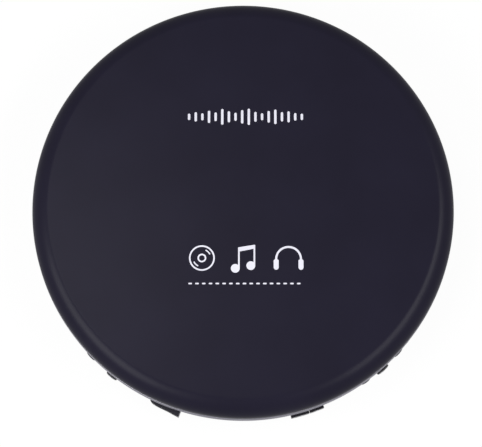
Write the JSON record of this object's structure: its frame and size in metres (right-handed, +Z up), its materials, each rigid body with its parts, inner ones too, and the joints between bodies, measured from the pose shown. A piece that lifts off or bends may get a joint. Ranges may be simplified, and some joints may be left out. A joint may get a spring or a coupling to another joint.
{
  "type": "portable cd player",
  "caption": "Round battery-powered portable disc player with a hinged lid, a sprung opening slider, front keys, a spindle hub and a geared laser sled.",
  "frame": {"origin": "on the table under the spindle, at the middle of the feet's plane", "axes": "+Z up along the spindle, front controls towards -Y, headphone socket on the +X side"},
  "size_m": [0.1404, 0.1402, 0.0295],
  "materials": {
    "lid_plastic": "soft-touch violet-black paint",
    "liner_plastic": "fine spark-eroded black",
    "deck_plastic": "satin black moulding",
    "shell_plastic": "fine textured black",
    "band_paint": "silver paint, satin",
    "key_plastic": "polished black",
    "slider_plastic": "dark grey moulding",
    "window_plastic": "smoked clear",
    "lcd": "grey-green display glass",
    "white_plastic": "natural acetal",
    "rubber": "matte black rubber",
    "steel": "plain steel",
    "bright_steel": "ground and polished",
    "chassis_metal": "zinc-plated sheet",
    "board": "green solder mask",
    "chip": "moulded black",
    "capacitor": "sleeved can",
    "switch_body": "grey moulding",
    "sled_plastic": "glass-filled black",
    "magnet": "nickel-plated",
    "lens": "coated lens",
    "brass": "machined"
  },
  "bodies": {
    "case": {"hinge_pin": "steel", "lid_spring": "steel", "disc_deck": "deck_plastic", "side_band": "band_paint", "bottom_shell": "shell_plastic", "rubber_feet": "rubber", "case_screws": "steel", "display_window": "window_plastic", "lcd_panel": "lcd", "lcd_backlight": "white_plastic", "slider_spring": "steel", "key_switches": "switch_body", "key_board": "board", "main_board": "board", "jack_board": "board", "board_chips": "chip", "board_capacitors": "capacitor", "headphone_jack": "liner_plastic", "power_jack": "liner_plastic", "contact_springs": "steel", "contact_plates": "steel", "mech_chassis": "chassis_metal", "mech_dampers": "rubber", "mech_screws": "steel", "spindle_motor": "steel", "guide_rod_front": "bright_steel", "guide_rod_rear": "bright_steel", "idler_axle": "steel", "sled_motor": "steel", "lid_switch": "switch_body", "limit_switch": "switch_body"},
    "lid": {"lid_shell": "lid_plastic", "lid_liner": "liner_plastic"},
    "opening_slider": {"open_slider": "slider_plastic"},
    "menu": {"menu_button": "key_plastic"},
    "mode": {"mode_button": "key_plastic"},
    "previous": {"previous_button": "slider_plastic"},
    "play": {"play_button": "key_plastic"},
    "stop": {"stop_button": "key_plastic"},
    "volume_down": {"volume_down_key": "key_plastic"},
    "volume_up": {"volume_up_key": "key_plastic"},
    "hold": {"hold_switch": "slider_plastic"},
    "door": {"battery_door": "shell_plastic"},
    "spindle": {"spindle_shaft": "bright_steel", "turntable": "liner_plastic", "disc_pad": "rubber"},
    "ball_1": {"clamp_ball_1": "bright_steel"},
    "ball_2": {"clamp_ball_2": "bright_steel"},
    "ball_3": {"clamp_ball_3": "bright_steel"},
    "sled": {"pickup_sled": "sled_plastic", "actuator_yoke": "steel", "actuator_magnets": "magnet", "sled_rack": "white_plastic"},
    "lens": {"lens_holder": "liner_plastic", "objective_lens": "lens"},
    "idler": {"idler_gear": "white_plastic"},
    "pinion": {"motor_pinion": "brass"}
  },
  "joints": [
    {"name": "lid_hinge", "type": "hinge", "parent": "case", "child": "lid", "pos_m": [0, 0.0645, 0.0193], "axis": [-1, 0, 0], "range_deg": [0, 70]},
    {"name": "opening_slider_travel", "type": "hinge", "parent": "case", "child": "opening_slider", "pos_m": [0, 0, 0.009], "axis": [0, 0, 1], "range_deg": [0, 3.3], "stiffness_Nm_per_rad": 1, "springref_deg": -1.72},
    {"name": "hold_switch_travel", "type": "hinge", "parent": "case", "child": "hold", "pos_m": [0, 0, 0.009], "axis": [0, 0, 1], "range_deg": [0, 1.3]},
    {"name": "battery_door_hinge", "type": "hinge", "parent": "case", "child": "door", "pos_m": [0.0147, 0, 0.0014], "axis": [0, 1, 0], "range_deg": [0, 95]},
    {"name": "turntable_spin", "type": "hinge", "parent": "case", "child": "spindle", "pos_m": [0, 0, 0.015], "axis": [0, 0, 1], "continuous": true},
    {"name": "sled_travel", "type": "slide", "parent": "case", "child": "sled", "axis": [-1, 0, 0], "range_m": [0, 0.032]},
    {"name": "idler_spin", "type": "hinge", "parent": "case", "child": "idler", "pos_m": [-0.024, -0.026, 0.008], "axis": [0, 0, 1], "range_deg": [0, 524]},
    {"name": "motor_pinion_spin", "type": "hinge", "parent": "case", "child": "pinion", "pos_m": [-0.01551, -0.03449, 0.007], "axis": [0, 0, 1], "range_deg": [-1572, 0]},
    {"name": "lens_focus", "type": "slide", "parent": "sled", "child": "lens", "axis": [0, 0, 1], "range_m": [-0.0004, 0.0004], "stiffness_N_per_m": 60},
    {"name": "menu_press", "type": "slide", "parent": "case", "child": "menu", "axis": [0.7254, 0.6884, 0], "range_m": [0, 0.0006], "stiffness_N_per_m": 400, "springref_m": -0.0006},
    {"name": "mode_press", "type": "slide", "parent": "case", "child": "mode", "axis": [0.6239, 0.7815, 0], "range_m": [0, 0.0006], "stiffness_N_per_m": 400, "springref_m": -0.0006},
    {"name": "previous_press", "type": "slide", "parent": "case", "child": "previous", "axis": [-0.585, 0.8111, 0], "range_m": [0, 0.0006], "stiffness_N_per_m": 400, "springref_m": -0.0006},
    {"name": "play_press", "type": "slide", "parent": "case", "child": "play", "axis": [-0.6626, 0.749, 0], "range_m": [0, 0.0006], "stiffness_N_per_m": 400, "springref_m": -0.0006},
    {"name": "stop_press", "type": "slide", "parent": "case", "child": "stop", "axis": [-0.7408, 0.6717, 0], "range_m": [0, 0.0006], "stiffness_N_per_m": 400, "springref_m": -0.0006},
    {"name": "volume_down_press", "type": "slide", "parent": "case", "child": "volume_down", "axis": [-0.2689, 0.9632, 0], "range_m": [0, 0.0006], "stiffness_N_per_m": 400, "springref_m": -0.0006},
    {"name": "volume_up_press", "type": "slide", "parent": "case", "child": "volume_up", "axis": [-0.3473, 0.9377, 0], "range_m": [0, 0.0006], "stiffness_N_per_m": 400, "springref_m": -0.0006},
    {"name": "clamp_ball_1_press", "type": "slide", "parent": "spindle", "child": "ball_1", "axis": [0, -1, 0], "range_m": [0, 0.0005], "stiffness_N_per_m": 800, "springref_m": -0.0005},
    {"name": "clamp_ball_2_press", "type": "slide", "parent": "spindle", "child": "ball_2", "axis": [0.866, 0.5, 0], "range_m": [0, 0.0005], "stiffness_N_per_m": 800, "springref_m": -0.0005},
    {"name": "clamp_ball_3_press", "type": "slide", "parent": "spindle", "child": "ball_3", "axis": [-0.866, 0.5, 0], "range_m": [0, 0.0005], "stiffness_N_per_m": 800, "springref_m": -0.0005}
  ],
  "couplings": [
    {"joint": "idler_spin", "follows": "sled_travel", "rad_per_m": 285.71},
    {"joint": "motor_pinion_spin", "follows": "sled_travel", "rad_per_m": -857.14}
  ]
}
